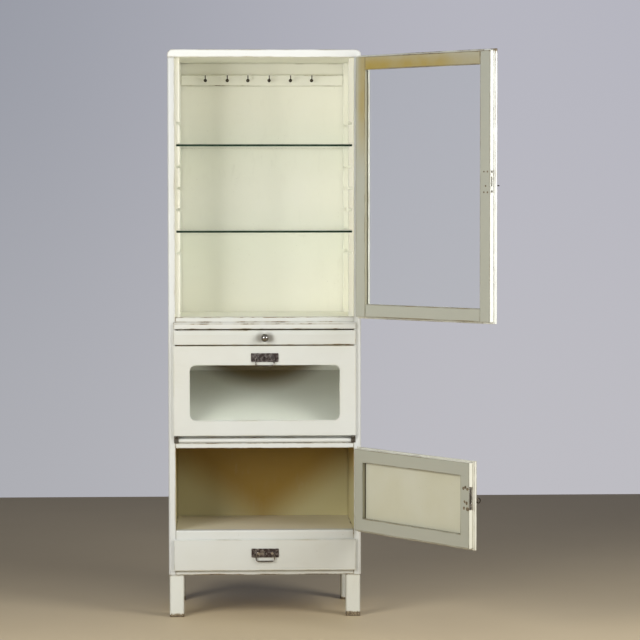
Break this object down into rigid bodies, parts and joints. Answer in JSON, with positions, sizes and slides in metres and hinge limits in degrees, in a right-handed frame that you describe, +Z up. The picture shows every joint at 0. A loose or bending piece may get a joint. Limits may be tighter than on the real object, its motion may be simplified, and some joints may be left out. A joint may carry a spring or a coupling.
{
  "type": "medical cabinet",
  "caption": "Tall painted wooden cabinet on square legs: glazed upper door over glass shelves, pull-out board, glazed drop flap, panelled lower door and drawer.",
  "frame": {"origin": "on the floor, under the middle of the carcass", "axes": "+X to the right along the front as a person facing it sees it, +Y from the front to the back, +Z up"},
  "size_m": [0.9086, 0.8024, 1.62],
  "materials": {
    "outer_paint": "worn gloss enamel on wood",
    "inner_paint": "yellowed enamel on wood",
    "bare_wood": "raw",
    "clear_glass": "clear",
    "dark_metal": "aged nickel plate",
    "bright_metal": "worn nickel plate"
  },
  "bodies": {
    "carcass": {"side_panel_left": "outer_paint", "side_panel_right": "outer_paint", "top_board": "outer_paint", "bottom_board": "outer_paint", "back_panel": "inner_paint", "lower_floor_board": "inner_paint", "middle_board": "outer_paint", "upper_floor_board": "inner_paint", "leg_front_left": "outer_paint", "leg_front_right": "outer_paint", "leg_rear_left": "outer_paint", "leg_rear_right": "outer_paint", "rack_front_left": "inner_paint", "rack_front_right": "inner_paint", "rack_rear_left": "inner_paint", "rack_rear_right": "inner_paint", "glass_shelf_lower": "clear_glass", "glass_shelf_upper": "clear_glass", "hook_rail": "inner_paint", "pullout_runner_left": "bare_wood", "pullout_runner_right": "bare_wood", "upper_hinge_frame_top": "dark_metal", "upper_hinge_frame_bottom": "dark_metal", "lower_hinge_frame_top": "dark_metal", "lower_hinge_frame_bottom": "dark_metal", "flap_hinge_frame_left": "dark_metal", "flap_hinge_frame_right": "dark_metal"},
    "upper_door": {"upper_door_hinge_stile": "outer_paint", "upper_door_lock_stile": "outer_paint", "upper_door_top_rail": "outer_paint", "upper_door_bottom_rail": "outer_paint", "upper_door_glass": "clear_glass", "upper_hinge_door_top": "dark_metal", "upper_hinge_door_bottom": "dark_metal", "upper_door_lock": "bright_metal"},
    "upper_bolt": {"upper_door_bolt": "bright_metal"},
    "upper_key": {"upper_door_key": "bright_metal"},
    "lower_door": {"lower_door_frame": "outer_paint", "lower_door_panel": "outer_paint", "lower_hinge_door_top": "dark_metal", "lower_hinge_door_bottom": "dark_metal", "lower_door_lock": "bright_metal"},
    "lower_bolt": {"lower_door_bolt": "bright_metal"},
    "lower_key": {"lower_door_key": "bright_metal"},
    "flap": {"flap_panel": "outer_paint", "flap_glass": "clear_glass", "flap_handle_plate": "dark_metal", "flap_hinge_arm_left": "dark_metal", "flap_hinge_arm_right": "dark_metal"},
    "flap_bail": {"flap_handle_bail": "dark_metal"},
    "drawer": {"drawer_front": "outer_paint", "drawer_side_left": "bare_wood", "drawer_side_right": "bare_wood", "drawer_back": "bare_wood", "drawer_bottom": "bare_wood", "drawer_handle_plate": "dark_metal"},
    "drawer_bail": {"drawer_handle_bail": "dark_metal"},
    "pullout": {"pullout_front": "outer_paint", "pullout_board": "inner_paint", "pullout_knob": "bright_metal"}
  },
  "joints": [
    {"name": "upper_door_hinge", "type": "hinge", "parent": "carcass", "child": "upper_door", "pos_m": [0.2643, -0.185, 1.22], "axis": [0, 0, 1], "range_deg": [-132.7, 35]},
    {"name": "upper_key_turn", "type": "hinge", "parent": "upper_door", "child": "upper_key", "pos_m": [0.59189, -0.55667, 1.2315], "axis": [-0.7349, -0.6782, 0], "range_deg": [-10, 110]},
    {"name": "upper_bolt_throw", "type": "slide", "parent": "upper_door", "child": "upper_bolt", "axis": [0.6782, -0.7349, 0], "range_m": [0, 0.011]},
    {"name": "lower_door_hinge", "type": "hinge", "parent": "carcass", "child": "lower_door", "pos_m": [0.2643, -0.185, 0.367], "axis": [0, 0, 1], "range_deg": [-124.4, 43]},
    {"name": "lower_key_turn", "type": "hinge", "parent": "lower_door", "child": "lower_key", "pos_m": [0.5348, -0.60006, 0.376], "axis": [-0.8251, -0.565, 0], "range_deg": [-10, 110]},
    {"name": "lower_bolt_throw", "type": "slide", "parent": "lower_door", "child": "lower_bolt", "axis": [0.565, -0.8251, 0], "range_m": [0, 0.011]},
    {"name": "flap_hinge", "type": "hinge", "parent": "carcass", "child": "flap", "pos_m": [0, -0.18445, 0.5168], "axis": [1, 0, 0], "range_deg": [0, 90]},
    {"name": "flap_bail_swing", "type": "hinge", "parent": "flap", "child": "flap_bail", "pos_m": [0, -0.19475, 0.7444], "axis": [-1, 0, 0], "range_deg": [0, 85]},
    {"name": "drawer_slide", "type": "slide", "parent": "carcass", "child": "drawer", "axis": [0, -1, 0], "range_m": [0, 0.25]},
    {"name": "drawer_bail_swing", "type": "hinge", "parent": "drawer", "child": "drawer_bail", "pos_m": [0, -0.19475, 0.1847], "axis": [-1, 0, 0], "range_deg": [0, 85]},
    {"name": "pullout_slide", "type": "slide", "parent": "carcass", "child": "pullout", "axis": [0, -1, 0], "range_m": [0, 0.22]}
  ],
  "couplings": [
    {"joint": "upper_key_turn", "follows": "upper_bolt_throw", "rad_per_m": 142.8},
    {"joint": "lower_key_turn", "follows": "lower_bolt_throw", "rad_per_m": 142.8}
  ]
}
